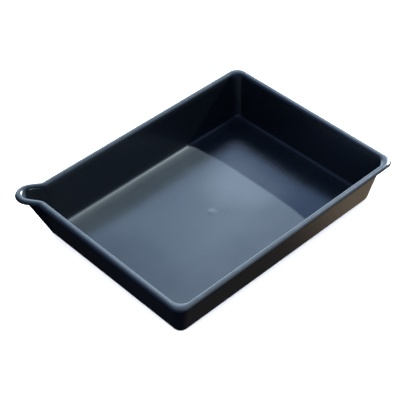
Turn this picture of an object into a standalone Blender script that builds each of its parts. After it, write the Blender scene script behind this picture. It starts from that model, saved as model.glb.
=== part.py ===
"""Flat-bottomed tray with a pouring spout at one corner.

The tray is one injection moulding of an even wall: a flat floor, four walls that lean
outwards, a rolled rim, and a spout drawn out of the corner at -X, +Y.
Metres, +Z up. The origin is the middle of the underside, and X runs along the tray.
"""
import math

import bmesh
import bpy
from mathutils import Vector
from mathutils.geometry import intersect_line_line

# Driving dimensions
LENGTH = 0.400            # over the rim, without the spout
WIDTH = 0.302             # over the rim, without the spout
HEIGHT = 0.069
WALL = 0.0020

# Rolled rim: half an ellipse in section, a little wider at the ends than along the sides
END_RIM = 0.0115
SIDE_RIM = 0.0095
RIM_ROLL = 0.0038         # from the crest down to the free edge
RIM_RADIUS = 0.0153       # of the rim's plain corners, at its outer and inner edges alike

# Where the walls meet the floor, on the inside
END_FOOT = 0.0218         # from the rim's outer edge, at the ends
SIDE_FOOT = 0.0235        # and along the sides
FOOT_RADIUS = 0.0092      # of the corners
FLOOR_FILLET = 0.0036     # reach of the fillet along the floor and up the wall

# Spout, in plan
SPOUT_ROOT = 0.0325       # from the corner to where a flank would leave the side
SPOUT_FLARE = math.radians(34)    # between a side and the flank that leaves it
SPOUT_BLEND = 0.0050      # hollow radius between side and flank, at the outer edge
SPOUT_NOSE = 0.0200       # radius of the nose, at the outer edge

# Gate mark left by the mould in the middle of the floor
GATE_RADIUS = 0.0070
GATE_RISE = 0.0008

CORNER_STEPS = 8
RIM_STEPS = 11
RIM_SWEEP = math.radians(165)     # the inner end stops where it meets the leaning wall
FILLET_STEPS = 5

BLACK_PLASTIC = (0.012, 0.013, 0.015, 1.0)


def clear_scene():
    for item in list(bpy.data.objects):
        bpy.data.objects.remove(item, do_unlink=True)


def new_collection(name):
    collection = bpy.data.collections.new(name)
    bpy.context.scene.collection.children.link(collection)
    return collection


def move_into(item, collection):
    for other in list(item.users_collection):
        other.objects.unlink(item)
    collection.objects.link(item)


def plastic_material():
    material = bpy.data.materials.new("black_plastic")
    material.use_nodes = True
    shader = material.node_tree.nodes["Principled BSDF"]
    shader.inputs["Base Color"].default_value = BLACK_PLASTIC
    shader.inputs["Roughness"].default_value = 0.32
    shader.inputs["Metallic"].default_value = 0.0
    return material


def arc(corner, before, after, radius):
    """Points of the arc of this radius that rounds off a corner between its two neighbours."""
    back = (before - corner).normalized()
    ahead = (after - corner).normalized()
    half_angle = back.angle(ahead) / 2
    centre = corner + (back + ahead).normalized() * radius / math.sin(half_angle)
    reach = radius / math.tan(half_angle)
    start = (corner + back * reach - centre).normalized()
    end = (corner + ahead * reach - centre).normalized()
    fractions = [k / CORNER_STEPS for k in range(CORNER_STEPS + 1)]
    return [centre + start.slerp(end, f) * radius for f in fractions]


def rounded(corners, radii):
    """Closed outline through arcs at the corners, anticlockwise."""
    points = []
    for i, (corner, radius) in enumerate(zip(corners, radii)):
        points += arc(corner, corners[i - 1], corners[(i + 1) % len(corners)], radius)
    return points


def moved_in(corners, end_inset, side_inset):
    """The corners after each edge moves inwards: ends by one inset, sides by the other."""
    edges = []
    for here, following in zip(corners, corners[1:] + corners[:1]):
        run = (following - here).normalized()
        inward = Vector((-run.y, run.x, 0))
        inset = inward.x ** 2 * end_inset + inward.y ** 2 * side_inset
        edges.append((here + inward * inset, following + inward * inset))
    return [intersect_line_line(*edges[i - 1], *edges[i])[0] for i in range(len(edges))]


def rim_outline(end_inset, side_inset):
    """Outline of the rim with the spout, moved inwards by the insets, at z = 0."""
    x, y = LENGTH / 2, WIDTH / 2
    flare = math.tan(SPOUT_FLARE)
    apex = SPOUT_ROOT * flare / (1 - flare)
    corners = [
        Vector((x, -y, 0)),
        Vector((x, y, 0)),
        Vector((-x + SPOUT_ROOT, y, 0)),
        Vector((-x - apex, y + apex, 0)),
        Vector((-x, y - SPOUT_ROOT, 0)),
        Vector((-x, -y, 0)),
    ]
    inset = (end_inset + side_inset) / 2
    hollow = SPOUT_BLEND + inset
    radii = [RIM_RADIUS, RIM_RADIUS, hollow, SPOUT_NOSE - inset, hollow, RIM_RADIUS]
    return rounded(moved_in(corners, end_inset, side_inset), radii)


def foot_outline(rim):
    """Plain rounded rectangle at the floor, with a point for each point of the rim outline.

    The spout's two hollow blends stand over straight runs, and its nose over the corner.
    """
    x, y = LENGTH / 2 - END_FOOT, WIDTH / 2 - SIDE_FOOT
    corners = [Vector((x, -y, 0)), Vector((x, y, 0)), Vector((-x, y, 0)), Vector((-x, -y, 0))]
    plain = rounded(corners, [FOOT_RADIUS] * 4)
    count = CORNER_STEPS + 1
    right_corners = plain[:2 * count]
    spout_corner = plain[2 * count:3 * count]
    last_corner = plain[3 * count:]
    rear_start = Vector((rim[2 * count].x, y, 0))
    end_start = Vector((-x, rim[5 * count - 1].y, 0))
    fractions = [k / count for k in range(count)]
    rear_run = [rear_start.lerp(spout_corner[0], f) for f in fractions]
    end_run = [end_start.lerp(spout_corner[-1], f) for f in reversed(fractions)]
    return right_corners + rear_run + spout_corner + end_run + last_corner


def at_height(outline, z):
    return [Vector((point.x, point.y, z)) for point in outline]


def skin_rings():
    """Rings of the skin that faces up and out, from the rim's free edge to the foot of the walls."""
    rings = []
    for k in range(RIM_STEPS + 1):
        turn = RIM_SWEEP * k / RIM_STEPS
        across = (1 - math.cos(turn)) / 2
        outline = rim_outline(END_RIM * across, SIDE_RIM * across)
        rings.append(at_height(outline, HEIGHT - RIM_ROLL * (1 - math.sin(turn))))
    rings.append(at_height(foot_outline(outline), WALL))
    return rings


def make_skin(collection):
    """Open surface of the tray: a loft through the rings, closed by the flat floor."""
    mesh = bpy.data.meshes.new("tray")
    model = bmesh.new()
    loops = [[model.verts.new(point) for point in ring] for ring in skin_rings()]
    for outer, inner in zip(loops, loops[1:]):
        for i in range(len(outer)):
            j = (i + 1) % len(outer)
            model.faces.new((outer[i], outer[j], inner[j], inner[i]))
    foot = loops[-1]
    model.faces.new(foot)
    weights = model.edges.layers.float.new("bevel_weight_edge")
    for i, vertex in enumerate(foot):
        edge = model.edges.get((vertex, foot[(i + 1) % len(foot)]))
        edge[weights] = 1.0
    model.to_mesh(mesh)
    model.free()
    tray = bpy.data.objects.new("tray", mesh)
    collection.objects.link(tray)
    return tray


def make_gate_mark(collection):
    """Low dome that the mould's gate leaves on the floor, as a squashed ball half sunk in it."""
    bpy.ops.mesh.primitive_uv_sphere_add(
        segments=24, ring_count=12, radius=GATE_RADIUS, location=(0, 0, WALL))
    dome = bpy.context.active_object
    dome.name = "gate_mark"
    dome.scale.z = GATE_RISE / GATE_RADIUS
    dome.hide_render = True
    dome.display_type = "WIRE"
    move_into(dome, collection)
    return dome


def add_modifiers(tray, gate_mark):
    fillet = tray.modifiers.new("floor_fillet", "BEVEL")
    fillet.limit_method = "WEIGHT"
    fillet.width = FLOOR_FILLET
    fillet.segments = FILLET_STEPS
    shell = tray.modifiers.new("wall_thickness", "SOLIDIFY")
    shell.thickness = WALL
    shell.offset = -1
    shell.use_even_offset = True
    join = tray.modifiers.new("gate_mark", "BOOLEAN")
    join.operation = "UNION"
    join.object = gate_mark


def main():
    clear_scene()
    parts = new_collection("paint_tray")
    cutters = new_collection("cutters")
    tray = make_skin(parts)
    tray.data.materials.append(plastic_material())
    add_modifiers(tray, make_gate_mark(cutters))
    tray.data.shade_smooth()
    tray.data.set_sharp_from_angle(angle=math.radians(35))


main()
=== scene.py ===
"""Looks of the paint tray: a fine mesh of the moulding, its black plastic, the light and the camera.

The mesh repeats the CAD solid's own construction with finer steps: a loft through rings from the
rim's free edge down to the floor, given the wall's thickness. Three things differ: the floor is
bowed up by under 3 mm towards its middle, the gate mark on it is lower than the CAD solid's, and
the free edge is rounded.
Metres, +Z up. The origin is the middle of the underside, and X runs along the tray.
"""

import math

import bmesh
import bpy
from mathutils import Euler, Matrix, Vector
from mathutils.geometry import intersect_line_line


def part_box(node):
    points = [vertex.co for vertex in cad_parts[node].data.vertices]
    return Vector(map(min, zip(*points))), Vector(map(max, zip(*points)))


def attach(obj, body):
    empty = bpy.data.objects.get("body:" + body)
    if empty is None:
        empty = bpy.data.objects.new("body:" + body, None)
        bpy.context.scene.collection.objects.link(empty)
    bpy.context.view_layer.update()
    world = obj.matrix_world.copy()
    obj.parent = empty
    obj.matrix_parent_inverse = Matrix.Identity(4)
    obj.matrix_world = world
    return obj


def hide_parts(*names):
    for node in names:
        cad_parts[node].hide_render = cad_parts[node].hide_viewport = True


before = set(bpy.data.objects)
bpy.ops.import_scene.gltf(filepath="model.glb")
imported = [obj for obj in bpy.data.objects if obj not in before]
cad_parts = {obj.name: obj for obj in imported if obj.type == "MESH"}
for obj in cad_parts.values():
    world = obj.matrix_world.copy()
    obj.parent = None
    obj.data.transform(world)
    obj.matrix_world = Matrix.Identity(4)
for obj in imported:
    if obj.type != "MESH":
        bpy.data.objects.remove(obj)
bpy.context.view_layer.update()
LOW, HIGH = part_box("tray")

# The plain rectangle of the rim reaches the box at +X and -Y, where there is no spout
HALF_LENGTH = HIGH.x
HALF_WIDTH = -LOW.y
HEIGHT = HIGH.z
WALL = 0.0020

# Rolled rim: half an ellipse in section, a little wider at the ends than along the sides
END_RIM = 0.0115
SIDE_RIM = 0.0095
RIM_ROLL = 0.0038         # from the crest down to the free edge
RIM_RADIUS = 0.0153       # of the rim's plain corners, at its outer and inner edges alike
RIM_SWEEP = math.radians(165)

# Where the walls meet the floor, on the inside
END_FOOT = 0.0218         # from the rim's outer edge, at the ends
SIDE_FOOT = 0.0235        # and along the sides
FOOT_RADIUS = 0.0092
FLOOR_FILLET = 0.0036

# Spout, in plan; its root is a hair shorter than the CAD solid's, whose arcs are coarser
SPOUT_ROOT = 0.0324       # from the corner to where a flank would leave the side
SPOUT_FLARE = math.radians(34)
SPOUT_BLEND = 0.0050
SPOUT_NOSE = 0.0200
BLEND_SHARE = 8 / 9       # of the straight foot under a flank, the part that its hollow blend takes

# Gate mark left by the mould in the middle of the floor
GATE_RADIUS = 0.0070
GATE_RISE = 0.0005

# The floor rises a little inside its edge, as moulded floors do; the CAD solid's is flat
CROWN_SLOPE = 0.046
CROWN_RUN = 0.040         # from the foot of a wall to where the slope begins to ease
CROWN_EASE = 0.045        # from there to where the floor is level
FLOOR_CROWN = CROWN_SLOPE * (CROWN_RUN + CROWN_EASE / 2)

# Middle of the painted sheen: the floor's colour is palest here, standing in for the key light's gloss
PAINTED_SHEEN_MIDDLE = Vector((0.075, 0.005, 0.0))

# Colours of the plastic, as linear RGB
BLACK_DEEP = (0.0088, 0.0114, 0.0130)
BLACK_PALE = (0.0112, 0.0142, 0.0162)
# Painted sheen: paler colour that stands in for the key light's gloss on the floor
PAINTED_SHEEN = (0.0245, 0.0285, 0.0320)
GATE_SCAR = (0.075, 0.084, 0.092)
# Dust, and along the foot of the walls also a painted highlight on the fillet
DUST_AND_HIGHLIGHT = (0.045, 0.048, 0.048)
RUBBED = (0.050, 0.056, 0.062)

# Fineness of the mesh
CORNER_STEPS = 20
LONG_STEPS = 30           # along a side or an end
FLANK_STEPS = 6
RIM_STEPS = 22
WALL_STEPS = 10
FILLET_STEPS = 8
FLOOR_STEPS = 28
GATE_STEPS = 8

# Rounding of the rim's free edge
EDGE_ROUNDING = 0.0004
EDGE_STEPS = 2
EDGE_ANGLE = math.radians(40)

# Camera
AZIMUTH = math.radians(-43.07)
ELEVATION = math.radians(42.46)
ROLL = math.radians(-1.01)
DISTANCE = 1.682
AIM = Vector((0.0082, 0.0319, 0))
LENS = 109.2

# Light: a small key low over the +X end, and a sky that is brightest over +X and +Y
KEY_HEADING = Vector((1.69, 0.20, 1.0))
KEY_ENERGY = 30.0
KEY_SPREAD = math.radians(1.0)
KEY_COLOUR = (0.86, 0.95, 1.0)
LIGHT_SIDE = Vector((0.85, 0.53, 0.0))
CLOUD_HEADING = Vector((0.53, 0.53, 0.66))
CLOUD_REACH = math.radians(3.5)
SKY_DARK_SIDE = (0.14, 0.22, 0.45)
SKY_LIGHT_SIDE = (0.72, 1.15, 2.1)
SKY_HORIZON = (2.6, 3.3, 4.1)
SKY_REAR = (2.9, 3.7, 4.6)
CLOUD = (5.2, 6.4, 8.0)
GROUND_DARK_SIDE = (0.012, 0.014, 0.02)
GROUND_LIGHT_SIDE = (0.055, 0.05, 0.045)
BANK_DARK = (0.30, 0.23, 0.16)
BANK_PALE = (0.78, 0.62, 0.45)

# Studio floor and the lamp over it
STUDIO_HALF = 12.0
STUDIO_GREY = (0.8, 0.8, 0.8, 1)
FILL_ENERGY = 2200.0
FILL_SIZE = 14.0
FILL_HEIGHT = 4.0


# ---------------------------------------------------------------- outlines

def arc(corner, before, after, radius):
    """Points of the arc of this radius that rounds off a corner between its two neighbours."""
    back = (before - corner).normalized()
    ahead = (after - corner).normalized()
    half_angle = back.angle(ahead) / 2
    centre = corner + (back + ahead).normalized() * radius / math.sin(half_angle)
    reach = radius / math.tan(half_angle)
    start = (corner + back * reach - centre).normalized()
    end = (corner + ahead * reach - centre).normalized()
    fractions = [k / CORNER_STEPS for k in range(CORNER_STEPS + 1)]
    return [centre + start.slerp(end, f) * radius for f in fractions]


def between(start, end, steps):
    """The points that divide a straight run into this many steps, without its two ends."""
    return [start.lerp(end, k / steps) for k in range(1, steps)]


def arcs_of(corners, radii):
    """One arc for each corner of a closed outline, with its own radius."""
    count = len(corners)
    return [arc(corners[i], corners[i - 1], corners[(i + 1) % count], radii[i]) for i in range(count)]


def joined(arcs, steps):
    """Closed outline through arcs, with the straight run after each arc divided into its steps."""
    points = []
    for here, following, count in zip(arcs, arcs[1:] + arcs[:1], steps):
        points += here + between(here[-1], following[0], count)
    return points


def moved_in(corners, end_inset, side_inset):
    """The corners after each edge moves inwards: ends by one inset, sides by the other."""
    edges = []
    for here, following in zip(corners, corners[1:] + corners[:1]):
        run = (following - here).normalized()
        inward = Vector((-run.y, run.x, 0))
        inset = inward.x ** 2 * end_inset + inward.y ** 2 * side_inset
        edges.append((here + inward * inset, following + inward * inset))
    return [intersect_line_line(*edges[i - 1], *edges[i])[0] for i in range(len(edges))]


def rim_arcs(end_inset, side_inset):
    """Arcs of the rim's outline, moved inwards by the insets: right end, spout, left end."""
    x, y = HALF_LENGTH, HALF_WIDTH
    flare = math.tan(SPOUT_FLARE)
    apex = SPOUT_ROOT * flare / (1 - flare)
    corners = [
        Vector((x, -y, 0)),
        Vector((x, y, 0)),
        Vector((-x + SPOUT_ROOT, y, 0)),
        Vector((-x - apex, y + apex, 0)),
        Vector((-x, y - SPOUT_ROOT, 0)),
        Vector((-x, -y, 0)),
    ]
    inset = (end_inset + side_inset) / 2
    hollow = SPOUT_BLEND + inset
    radii = [RIM_RADIUS, RIM_RADIUS, hollow, SPOUT_NOSE - inset, hollow, RIM_RADIUS]
    return arcs_of(moved_in(corners, end_inset, side_inset), radii)


def rim_outline(end_inset, side_inset):
    """Closed outline of the rim, moved inwards by the insets."""
    steps = [LONG_STEPS, LONG_STEPS, FLANK_STEPS, FLANK_STEPS, LONG_STEPS, LONG_STEPS]
    return joined(rim_arcs(end_inset, side_inset), steps)


def foot_outline(inset):
    """Plain rounded rectangle at the floor, with a point for each point of the rim outline.

    The spout's two hollow blends stand over straight runs, and its nose over the corner.
    """
    x = HALF_LENGTH - END_FOOT - inset
    y = HALF_WIDTH - SIDE_FOOT - inset
    corners = [Vector((x, -y, 0)), Vector((x, y, 0)), Vector((-x, y, 0)), Vector((-x, -y, 0))]
    right_front, right_rear, nose, left_front = arcs_of(corners, [FOOT_RADIUS - inset] * 4)
    inner_rim = rim_arcs(END_RIM, SIDE_RIM)
    side_start = Vector((inner_rim[2][0].x, y, 0))
    end_start = Vector((-x, inner_rim[4][-1].y, 0))
    fractions = [BLEND_SHARE * k / CORNER_STEPS for k in range(CORNER_STEPS + 1)]
    side_blend = [side_start.lerp(nose[0], f) for f in fractions]
    end_blend = [end_start.lerp(nose[-1], f) for f in reversed(fractions)]
    arcs = [right_front, right_rear, side_blend, nose, end_blend, left_front]
    return joined(arcs, [LONG_STEPS, LONG_STEPS, FLANK_STEPS, FLANK_STEPS, LONG_STEPS, LONG_STEPS])


def at_height(outline, z):
    """The same outline, level at this height."""
    return [Vector((point.x, point.y, z)) for point in outline]


# ---------------------------------------------------------------- rings of the moulding

def rim_rings():
    """From the rim's free edge over the crest to its inner end, at the top of the wall."""
    rings = []
    for k in range(RIM_STEPS + 1):
        turn = RIM_SWEEP * k / RIM_STEPS
        across = (1 - math.cos(turn)) / 2
        outline = rim_outline(END_RIM * across, SIDE_RIM * across)
        rings.append(at_height(outline, HEIGHT - RIM_ROLL * (1 - math.sin(turn))))
    return rings


def round_off(before, corner, after, fraction):
    """A point of the circular arc that rounds off a corner between two equally distant points."""
    half_angle = (before - corner).angle(after - corner) / 2
    weights = ((1 - fraction) ** 2, 2 * fraction * (1 - fraction) * math.sin(half_angle), fraction ** 2)
    total = before * weights[0] + corner * weights[1] + after * weights[2]
    return total / sum(weights)


def wall_and_fillet_rings(top):
    """Down the leaning wall below the ring at its top, and round the fillet on to the floor."""
    foot = at_height(foot_outline(0), WALL)
    floor_edge = at_height(foot_outline(FLOOR_FILLET), WALL)
    fillet_top = [f + (t - f).normalized() * FLOOR_FILLET for t, f in zip(top, foot)]
    rings = []
    for k in range(1, WALL_STEPS + 1):
        rings.append([t.lerp(w, k / WALL_STEPS) for t, w in zip(top, fillet_top)])
    for k in range(1, FILLET_STEPS + 1):
        corner = zip(fillet_top, foot, floor_edge)
        rings.append([round_off(w, f, e, k / FILLET_STEPS) for w, f, e in corner])
    return rings


def floor_rings(edge):
    """Across the bowed floor to the gate mark, and over the low dome of the mark."""
    circle = [Vector((p.x, p.y, 0)).normalized() for p in edge]
    rings = []
    for k in range(1, FLOOR_STEPS + 1):
        plan = [e.lerp(c * GATE_RADIUS, k / FLOOR_STEPS) for e, c in zip(edge, circle)]
        rings.append([Vector((p.x, p.y, floor_height(p))) for p in plan])
    for k in range(1, GATE_STEPS):
        radius = GATE_RADIUS * (1 - k / GATE_STEPS)
        rings.append(at_height([c * radius for c in circle], gate_height(radius)))
    return rings


def crown_share(distance):
    """How far the floor has risen, from 0 at the foot of a wall to 1 where it is level."""
    eased = min(max(distance - CROWN_RUN, 0), CROWN_EASE)
    risen = min(distance, CROWN_RUN) + eased - eased ** 2 / (2 * CROWN_EASE)
    return CROWN_SLOPE * risen / FLOOR_CROWN


def floor_height(point):
    """Height of the floor's skin at a point in plan: it rises inwards from every wall's foot."""
    to_end = HALF_LENGTH - END_FOOT - FLOOR_FILLET - abs(point.x)
    to_side = HALF_WIDTH - SIDE_FOOT - FLOOR_FILLET - abs(point.y)
    return WALL + FLOOR_CROWN * crown_share(to_end) * crown_share(to_side)


def gate_height(radius):
    """Height of the floor's skin over the gate mark: a low dome that runs out into the floor."""
    return WALL + FLOOR_CROWN + GATE_RISE * (1 + math.cos(math.pi * radius / GATE_RADIUS)) / 2


def wear_of_rings(count):
    """Share of wear of each ring: the rim's crest and the edge it stands on rub the most."""
    crest = [math.sin(RIM_SWEEP * k / RIM_STEPS) ** 4 for k in range(RIM_STEPS + 1)]
    fillet = [0.6 * math.sin(math.pi * k / FILLET_STEPS) for k in range(1, FILLET_STEPS + 1)]
    worn = crest + [0.0] * WALL_STEPS + fillet
    return worn + [0.0] * (count - len(worn))


def dust_and_highlight_of_rings(count):
    """Share of each ring in the mask for dust and a painted highlight: both are strongest in the fillet
    and on the floor beside it.
    """
    before = [0.0] * (RIM_STEPS + 1 + WALL_STEPS)
    dust_and_highlight_share = before + [1.0] * FILLET_STEPS + [0.4, 0.2, 0.05]
    return dust_and_highlight_share + [0.0] * (count - len(dust_and_highlight_share))


def moulding_mesh():
    """Open skin of the moulding that faces up and out, with wear, and dust with a painted highlight, at
    each vertex.
    """
    rings = rim_rings()
    rings += wall_and_fillet_rings(rings[-1])
    rings += floor_rings(rings[-1])
    model = bmesh.new()
    shares = {"wear": wear_of_rings(len(rings)), "dust_and_highlight": dust_and_highlight_of_rings(len(rings))}
    for name in shares:
        model.verts.layers.float.new(name)
    loops = [[model.verts.new(point) for point in ring] for ring in rings]
    for name, share_of_ring in shares.items():
        layer = model.verts.layers.float[name]
        for loop, share in zip(loops, share_of_ring):
            for vertex in loop:
                vertex[layer] = share
    for outer, inner in zip(loops, loops[1:]):
        for i in range(len(outer)):
            j = (i + 1) % len(outer)
            model.faces.new((outer[i], outer[j], inner[j], inner[i]))
    centre = model.verts.new((0, 0, gate_height(0)))
    last = loops[-1]
    for i in range(len(last)):
        model.faces.new((last[i], last[(i + 1) % len(last)], centre))
    mesh = bpy.data.meshes.new("paint_tray")
    model.to_mesh(mesh)
    model.free()
    return mesh


def make_tray():
    """The moulding's skin with the wall's thickness behind it and a small round on its free edge."""
    tray = bpy.data.objects.new("moulded_tray", moulding_mesh())
    bpy.context.scene.collection.objects.link(tray)
    shell = tray.modifiers.new("wall_thickness", "SOLIDIFY")
    shell.thickness = WALL
    shell.offset = -1
    shell.use_even_offset = True
    edge = tray.modifiers.new("lip_edges", "BEVEL")
    edge.limit_method = "ANGLE"
    edge.angle_limit = EDGE_ANGLE
    edge.width = EDGE_ROUNDING
    edge.segments = EDGE_STEPS
    tray.data.shade_smooth()
    tray.data.materials.append(black_plastic())
    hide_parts("tray")
    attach(tray, "root")
    return tray


# ---------------------------------------------------------------- material

class Nodes:
    """Shorthand for building a node tree: adds nodes and links their sockets."""

    def __init__(self, tree):
        self.tree = tree

    def add(self, kind, **settings):
        node = self.tree.nodes.new("ShaderNode" + kind)
        for name, value in settings.items():
            setattr(node, name, value)
        return node

    def link(self, output, target):
        self.tree.links.new(output, target)

    def noise(self, position, scale, detail=4.0):
        node = self.add("TexNoise")
        node.inputs["Scale"].default_value = scale
        node.inputs["Detail"].default_value = detail
        self.link(position, node.inputs["Vector"])
        return node.outputs["Fac"]

    def remap(self, value, low, high, to_low, to_high, shape="LINEAR"):
        node = self.add("MapRange", interpolation_type=shape)
        limits = {"From Min": low, "From Max": high, "To Min": to_low, "To Max": to_high}
        for name, number in limits.items():
            node.inputs[name].default_value = number
        self.link(value, node.inputs["Value"])
        return node.outputs["Result"]

    def math(self, operation, first, second):
        node = self.add("Math", operation=operation)
        for socket, value in zip(node.inputs, (first, second)):
            if isinstance(value, float):
                socket.default_value = value
            else:
                self.link(value, socket)
        return node.outputs["Value"]

    def dot(self, direction, heading):
        node = self.add("VectorMath", operation="DOT_PRODUCT")
        node.inputs[1].default_value = heading
        self.link(direction, node.inputs[0])
        return node.outputs["Value"]

    def blend(self, amount, first, second):
        node = self.add("Mix", data_type="RGBA")
        self.link(amount, node.inputs["Factor"])
        for name, value in (("A", first), ("B", second)):
            socket = [s for s in node.inputs if s.name == name and s.type == "RGBA"][0]
            if isinstance(value, tuple):
                socket.default_value = (*value, 1.0)
            else:
                self.link(value, socket)
        return [s for s in node.outputs if s.type == "RGBA"][0]

    def bump(self, height, distance, strength, normal=None):
        node = self.add("Bump")
        node.inputs["Distance"].default_value = distance
        node.inputs["Strength"].default_value = strength
        self.link(height, node.inputs["Height"])
        if normal is not None:
            self.link(normal, node.inputs["Normal"])
        return node.outputs["Normal"]


def scratches(nodes, position, heading):
    """Thin broken lines that run one way across the plastic, 1 on a scratch and 0 beside it."""
    mapping = nodes.add("Mapping")
    mapping.inputs["Rotation"].default_value = (0, 0, heading)
    mapping.inputs["Scale"].default_value = (7.0, 420.0, 60.0)
    nodes.link(position, mapping.inputs["Vector"])
    return nodes.remap(nodes.noise(mapping.outputs["Vector"], 1.0, 2.0), 0.66, 0.72, 0.0, 1.0)


def flow_rings(nodes, position):
    """Faint uneven rings round the gate, where the plastic flowed out as it filled the mould."""
    radius = nodes.add("VectorMath", operation="LENGTH")
    nodes.link(position, radius.inputs[0])
    sway = nodes.remap(nodes.noise(position, 11.0, 2.0), 0.0, 1.0, -0.02, 0.02)
    rings = nodes.add("TexNoise", noise_dimensions="1D")
    rings.inputs["Scale"].default_value = 190.0
    rings.inputs["Detail"].default_value = 3.0
    nodes.link(nodes.math("ADD", radius.outputs["Value"], sway), rings.inputs["W"])
    return rings.outputs["Fac"]


def painted_sheen_mask(nodes, position):
    """Painted sheen: paler colour that stands in for the key light's gloss, 1 in the middle of a patch
    beside the gate, and some along the front.
    """
    from_middle = nodes.add("VectorMath", operation="DISTANCE")
    nodes.link(position, from_middle.inputs[0])
    from_middle.inputs[1].default_value = PAINTED_SHEEN_MIDDLE
    uneven = nodes.remap(nodes.noise(position, 16.0), 0.0, 1.0, -0.012, 0.012)
    distance = nodes.math("ADD", from_middle.outputs["Value"], uneven)
    patch = nodes.remap(distance, 0.02, 0.085, 1.0, 0.0, "SMOOTHSTEP")
    across = nodes.add("SeparateXYZ")
    nodes.link(position, across.inputs["Vector"])
    return nodes.math("MAXIMUM", patch, nodes.remap(across.outputs["Y"], 0.03, -0.07, 0.0, 0.45))


def black_plastic():
    """Black polypropylene: satin mould finish, flow marks, fine scratches, dust and rubbed edges, with
    a painted sheen on the floor and a painted highlight along the foot of the walls.
    """
    material = bpy.data.materials.new("black_plastic")
    material.use_nodes = True
    nodes = Nodes(material.node_tree)
    shader = material.node_tree.nodes["Principled BSDF"]
    position = nodes.add("TexCoord").outputs["Object"]
    worn = nodes.add("Attribute", attribute_name="wear").outputs["Fac"]
    facing = nodes.add("SeparateXYZ")
    nodes.link(nodes.add("NewGeometry").outputs["Normal"], facing.inputs["Vector"])

    # Dust lies where the surface faces up, in patches; along the foot of the walls the same mask is
    # strongest and also paints a highlight on the fillet
    patches = nodes.remap(nodes.noise(position, 9.0, 6.0), 0.35, 0.75, 0.15, 1.0)
    settled = nodes.remap(facing.outputs["Z"], 0.6, 1.0, 0.0, 1.0)
    dust_and_highlight_share = nodes.add("Attribute", attribute_name="dust_and_highlight").outputs["Fac"]
    # Painted highlight: the fillet and the floor beside it are made paler, together with the dust there
    foot_dust_and_highlight = nodes.math("MULTIPLY", dust_and_highlight_share, 5.0)
    dust_and_highlight = nodes.math("MULTIPLY", nodes.math("ADD", patches, foot_dust_and_highlight), settled)
    lines = nodes.math("MAXIMUM", scratches(nodes, position, 0.5), scratches(nodes, position, -0.9))
    rings = flow_rings(nodes, position)

    # Colour: uneven black, a painted sheen patch, the gate's scar, dust with a painted highlight along
    # the foot, then rubs and scratches on top
    clouds = nodes.noise(position, 14.0)
    black = nodes.blend(clouds, BLACK_DEEP, BLACK_PALE)
    # Painted sheen: the black is made paler in a patch beside the gate and along the front
    with_painted_sheen = nodes.blend(painted_sheen_mask(nodes, position), black, PAINTED_SHEEN)
    from_gate = nodes.add("VectorMath", operation="LENGTH")
    nodes.link(position, from_gate.inputs[0])
    scar = nodes.remap(from_gate.outputs["Value"], 0.005, 0.010, 0.30, 0.0, "SMOOTHSTEP")
    plastic = nodes.blend(scar, with_painted_sheen, GATE_SCAR)
    # Dust colour, which along the foot of the walls is also a painted highlight on the fillet
    dusted_and_highlit = nodes.blend(nodes.math("MULTIPLY", dust_and_highlight, 0.10), plastic, DUST_AND_HIGHLIGHT)
    patchy = nodes.remap(nodes.noise(position, 160.0), 0.45, 0.7, 0.0, 0.10)
    rubbed = nodes.math("MULTIPLY", worn, patchy)
    marked = nodes.math("MAXIMUM", rubbed, nodes.math("MULTIPLY", lines, 0.025))
    nodes.link(nodes.blend(marked, dusted_and_highlit, RUBBED), shader.inputs["Base Color"])

    # Roughness
    smears = nodes.remap(nodes.noise(position, 38.0), 0.3, 0.7, 0.19, 0.215)
    flowed = nodes.math("ADD", smears, nodes.remap(rings, 0.3, 0.7, -0.008, 0.008))
    dulled = nodes.math("ADD", flowed, nodes.math("MULTIPLY", dust_and_highlight, 0.02))
    scuffed = nodes.math("ADD", dulled, nodes.math("MULTIPLY", marked, 0.30))
    nodes.link(scuffed, shader.inputs["Roughness"])

    # Bump, from the mould's fine grain through the flow rings to the scratches
    grain = nodes.bump(nodes.noise(position, 1400.0, 2.0), 0.00004, 0.5)
    ripples = nodes.bump(rings, 0.00012, 0.22, grain)
    cuts = nodes.bump(nodes.math("SUBTRACT", 1.0, lines), 0.00003, 0.2, ripples)
    nodes.link(cuts, shader.inputs["Normal"])
    shader.inputs["IOR"].default_value = 1.5
    return material


# ---------------------------------------------------------------- stage, light and camera

def make_floor():
    """White floor of the studio. The plastic's gloss shows the sky's ground instead of it."""
    mesh = bpy.data.meshes.new("studio_floor")
    signs = [(-1, -1), (1, -1), (1, 1), (-1, 1)]
    mesh.from_pydata([(x * STUDIO_HALF, y * STUDIO_HALF, 0) for x, y in signs], [], [(0, 1, 2, 3)])
    floor = bpy.data.objects.new("studio_floor", mesh)
    floor.location.z = LOW.z
    bpy.context.scene.collection.objects.link(floor)
    material = bpy.data.materials.new("studio_floor")
    material.use_nodes = True
    shader = material.node_tree.nodes["Principled BSDF"]
    shader.inputs["Base Color"].default_value = STUDIO_GREY
    shader.inputs["Roughness"].default_value = 0.9
    mesh.materials.append(material)
    floor.visible_glossy = False
    floor.visible_diffuse = False


def make_key(tray):
    """Small, low key over the +X end: the end wall shades the floor beside it."""
    lamp = bpy.data.lights.new("key", "SUN")
    lamp.energy = KEY_ENERGY
    lamp.angle = KEY_SPREAD
    lamp.color = KEY_COLOUR
    key = bpy.data.objects.new("key", lamp)
    key.rotation_euler = KEY_HEADING.to_track_quat("Z", "Y").to_euler()
    bpy.context.scene.collection.objects.link(key)
    lit = bpy.data.collections.new("lit_by_key")
    lit.objects.link(tray)
    key.light_linking.receiver_collection = lit


def make_fill():
    """Broad white light from above, for the floor of the studio."""
    lamp = bpy.data.lights.new("fill", "AREA")
    lamp.shape = "DISK"
    lamp.size = FILL_SIZE
    lamp.energy = FILL_ENERGY
    fill = bpy.data.objects.new("fill", lamp)
    fill.location = (0, 0, FILL_HEIGHT)
    fill.visible_glossy = False
    bpy.context.scene.collection.objects.link(fill)
    lit = bpy.data.collections.new("lit_by_fill")
    lit.objects.link(bpy.data.objects["studio_floor"])
    fill.light_linking.receiver_collection = lit


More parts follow.
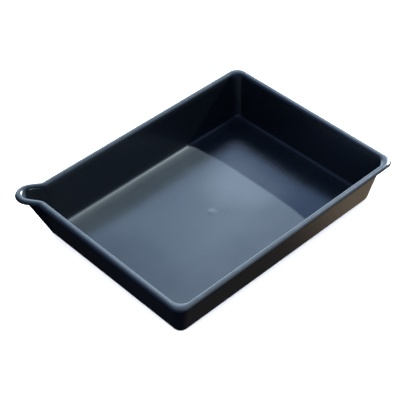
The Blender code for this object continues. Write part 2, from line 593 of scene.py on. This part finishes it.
def make_sky():
    """Sky, a bright cloud and the ground: they light the plastic and show in its gloss."""
    world = bpy.data.worlds.new("sky")
    bpy.context.scene.world = world
    world.use_nodes = True
    nodes = Nodes(world.node_tree)
    direction = nodes.add("TexCoord").outputs["Generated"]
    parts = nodes.add("SeparateXYZ")
    nodes.link(direction, parts.inputs["Vector"])

    height = nodes.remap(parts.outputs["Z"], 0.0, 0.38, 0.0, 1.0)
    light_side = nodes.blend(height, SKY_HORIZON, SKY_LIGHT_SIDE)
    rear = nodes.remap(parts.outputs["Y"], 0.58, 0.80, 0.0, 1.0)
    glow = nodes.blend(rear, light_side, SKY_REAR)
    turned = nodes.dot(direction, LIGHT_SIDE)
    towards_light = nodes.remap(turned, 0.44, 0.68, 0.0, 1.0, "SMOOTHSTEP")
    clear = nodes.blend(towards_light, SKY_DARK_SIDE, glow)
    towards_cloud = nodes.dot(direction, CLOUD_HEADING.normalized())
    cloud = nodes.remap(towards_cloud, math.cos(CLOUD_REACH), 1.0, 0.0, 1.0)
    sky = nodes.blend(cloud, clear, CLOUD)

    # The ground is dark, with a brown bank a long way off over +X
    edge = nodes.remap(nodes.noise(direction, 12.0), 0.0, 1.0, -0.012, 0.012)
    bank = nodes.remap(nodes.math("ADD", parts.outputs["X"], edge), 0.553, 0.580, 0.0, 1.0)
    lit_ground = nodes.remap(parts.outputs["X"], -0.1, 0.3, 0.0, 1.0)
    shade = nodes.blend(lit_ground, GROUND_DARK_SIDE, GROUND_LIGHT_SIDE)
    streaks = nodes.remap(nodes.noise(direction, 24.0), 0.38, 0.62, 0.0, 1.0)
    brown = nodes.blend(streaks, BANK_DARK, BANK_PALE)
    ground = nodes.blend(bank, shade, brown)
    above = nodes.remap(parts.outputs["Z"], -0.06, 0.06, 0.0, 1.0)
    background = world.node_tree.nodes["Background"]
    nodes.link(nodes.blend(above, ground, sky), background.inputs["Color"])


def make_camera():
    """Long lens that looks down on the tray over the corner of -X and -Y."""
    data = bpy.data.cameras.new("camera")
    data.lens = LENS
    data.clip_start = 0.05
    data.clip_end = 60.0
    camera = bpy.data.objects.new("camera", data)
    turn = Euler((math.pi / 2 - ELEVATION, 0, AZIMUTH)).to_matrix() @ Euler((0, 0, ROLL)).to_matrix()
    camera.rotation_euler = turn.to_euler()
    camera.location = AIM + turn @ Vector((0, 0, DISTANCE))
    bpy.context.scene.collection.objects.link(camera)
    bpy.context.scene.camera = camera


bpy.context.scene.view_settings.view_transform = "Standard"
tray = make_tray()
make_floor()
make_key(tray)
make_fill()
make_sky()
make_camera()
